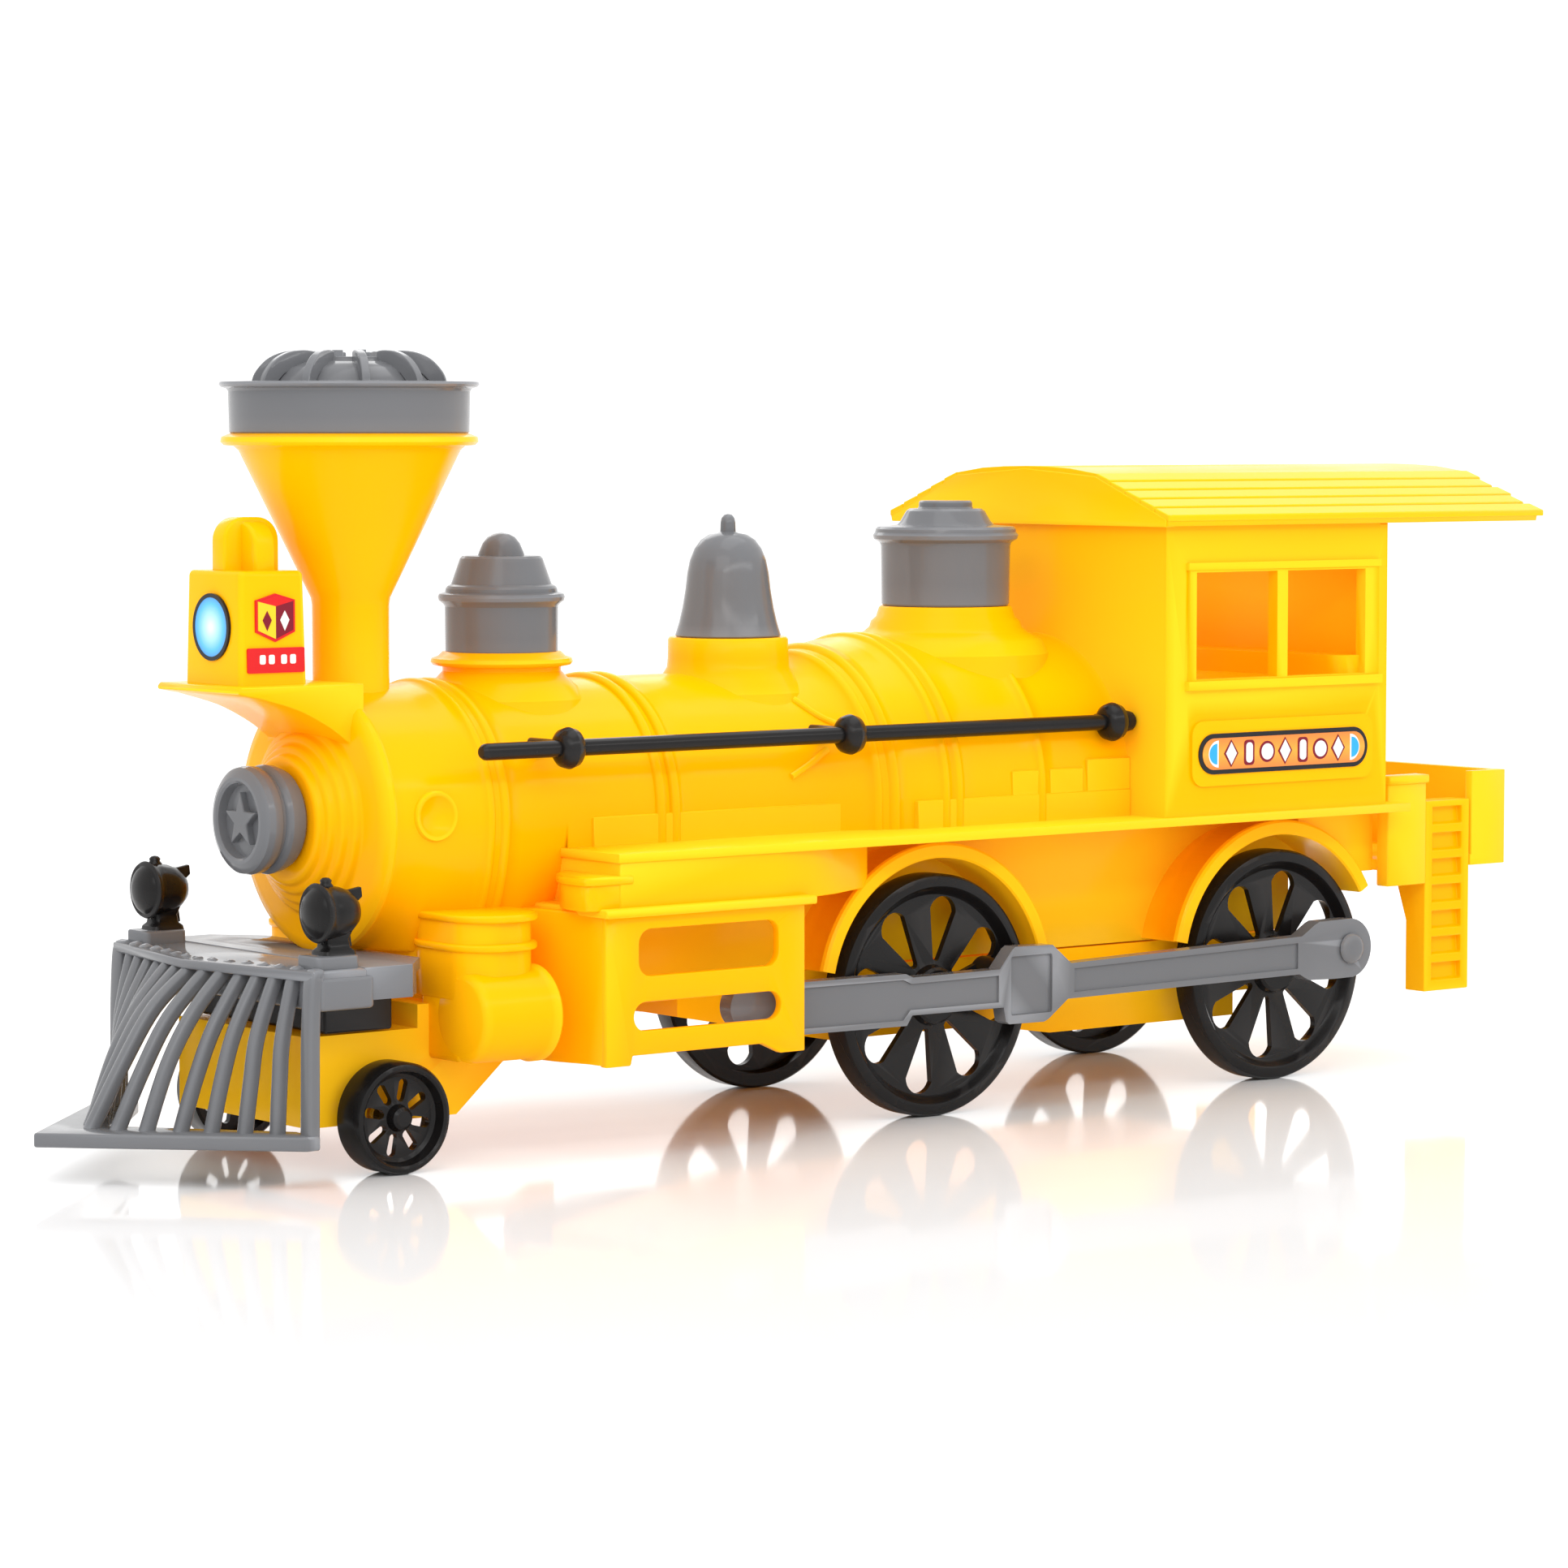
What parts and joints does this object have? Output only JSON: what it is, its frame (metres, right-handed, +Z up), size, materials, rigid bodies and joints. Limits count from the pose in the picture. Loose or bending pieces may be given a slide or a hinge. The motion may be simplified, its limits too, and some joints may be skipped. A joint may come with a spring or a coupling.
{
  "type": "toy steam locomotive",
  "caption": "Toy steam locomotive with funnel chimney, domes, windowed cab, slatted pilot, side rods and wheels geared to a friction flywheel.",
  "frame": {"origin": "on the floor under the middle of the bounding box", "axes": "+Z up, -Y towards the nose, +X to the driver's left side when facing forward"},
  "size_m": [0.077, 0.3, 0.1303],
  "materials": {
    "yellow_plastic": "glossy moulded yellow",
    "grey_plastic": "satin grey moulding",
    "black_plastic": "satin black moulding",
    "white_plastic": "natural nylon gear",
    "steel": "plated steel",
    "blue_sticker": "glossy printed sticker",
    "red_sticker": "glossy printed sticker",
    "orange_sticker": "glossy printed sticker"
  },
  "bodies": {
    "locomotive": {"base_plate": "yellow_plastic", "base_screw_1": "steel", "base_screw_2": "steel", "bell": "grey_plastic", "boiler_barrel": "yellow_plastic", "buffer_beam": "grey_plastic", "cab_body": "yellow_plastic", "cab_roof": "yellow_plastic", "chassis_shell": "yellow_plastic", "chimney_cap_ring": "grey_plastic", "chimney_funnel": "yellow_plastic", "chimney_spider": "grey_plastic", "coupler_block": "black_plastic", "cowcatcher": "grey_plastic", "crosshead_guard_left": "yellow_plastic", "crosshead_guard_right": "yellow_plastic", "cylinder_left": "yellow_plastic", "cylinder_right": "yellow_plastic", "door_plug": "grey_plastic", "handrail_left": "black_plastic", "handrail_right": "black_plastic", "headlamp_box": "yellow_plastic", "headlamp_label_left": "red_sticker", "headlamp_label_right": "red_sticker", "headlamp_lens": "blue_sticker", "headlamp_vent": "yellow_plastic", "ladder_left": "yellow_plastic", "ladder_right": "yellow_plastic", "marker_lamp_left": "black_plastic", "marker_lamp_right": "black_plastic", "motor_housing_left": "grey_plastic", "motor_housing_right": "grey_plastic", "nameplate_left": "orange_sticker", "nameplate_right": "orange_sticker", "pilot_frame": "yellow_plastic", "rear_platform": "yellow_plastic", "sand_dome_cap": "grey_plastic", "smokebox_front": "yellow_plastic", "steam_dome_cap": "grey_plastic"},
    "pilot_wheels": {"pilot_wheel_axle": "steel", "pilot_wheel_left": "black_plastic", "pilot_wheel_right": "black_plastic"},
    "front_drivers": {"front_driver_axle": "steel", "front_driver_left": "black_plastic", "front_driver_right": "black_plastic"},
    "rear_drivers": {"rear_driver_axle": "steel", "rear_driver_left": "black_plastic", "rear_driver_right": "black_plastic", "axle_gear": "white_plastic", "crank_pin_left": "grey_plastic", "crank_pin_right": "grey_plastic"},
    "rod_left": {"side_rod_left": "grey_plastic"},
    "rod_right": {"side_rod_right": "grey_plastic"},
    "compound": {"compound_gear": "white_plastic"},
    "inertia_wheel": {"flywheel": "steel"}
  },
  "joints": [
    {"name": "rear_axle_turn", "type": "hinge", "parent": "locomotive", "child": "rear_drivers", "pos_m": [0, 0.093, 0.021], "axis": [1, 0, 0], "continuous": true},
    {"name": "front_axle_turn", "type": "hinge", "parent": "locomotive", "child": "front_drivers", "pos_m": [0, 0.012, 0.021], "axis": [1, 0, 0], "continuous": true},
    {"name": "pilot_axle_turn", "type": "hinge", "parent": "locomotive", "child": "pilot_wheels", "pos_m": [0, -0.0984, 0.009], "axis": [1, 0, 0], "continuous": true},
    {"name": "left_rod_on_crank", "type": "hinge", "parent": "rear_drivers", "child": "rod_left", "pos_m": [0.0315, 0.10572, 0.0237], "axis": [1, 0, 0], "continuous": true},
    {"name": "right_rod_on_crank", "type": "hinge", "parent": "rear_drivers", "child": "rod_right", "pos_m": [-0.0315, 0.10572, 0.0237], "axis": [1, 0, 0], "continuous": true},
    {"name": "compound_gear_turn", "type": "hinge", "parent": "locomotive", "child": "compound", "pos_m": [0, 0.088, 0.02475], "axis": [1, 0, 0], "continuous": true},
    {"name": "flywheel_turn", "type": "hinge", "parent": "locomotive", "child": "inertia_wheel", "pos_m": [0, 0.08425, 0.02975], "axis": [1, 0, 0], "continuous": true}
  ],
  "couplings": [
    {"joint": "front_axle_turn", "follows": "rear_axle_turn", "ratio": 1},
    {"joint": "left_rod_on_crank", "follows": "rear_axle_turn", "ratio": -1},
    {"joint": "right_rod_on_crank", "follows": "rear_axle_turn", "ratio": -1},
    {"joint": "compound_gear_turn", "follows": "rear_axle_turn", "ratio": -2},
    {"joint": "flywheel_turn", "follows": "rear_axle_turn", "ratio": 4}
  ]
}
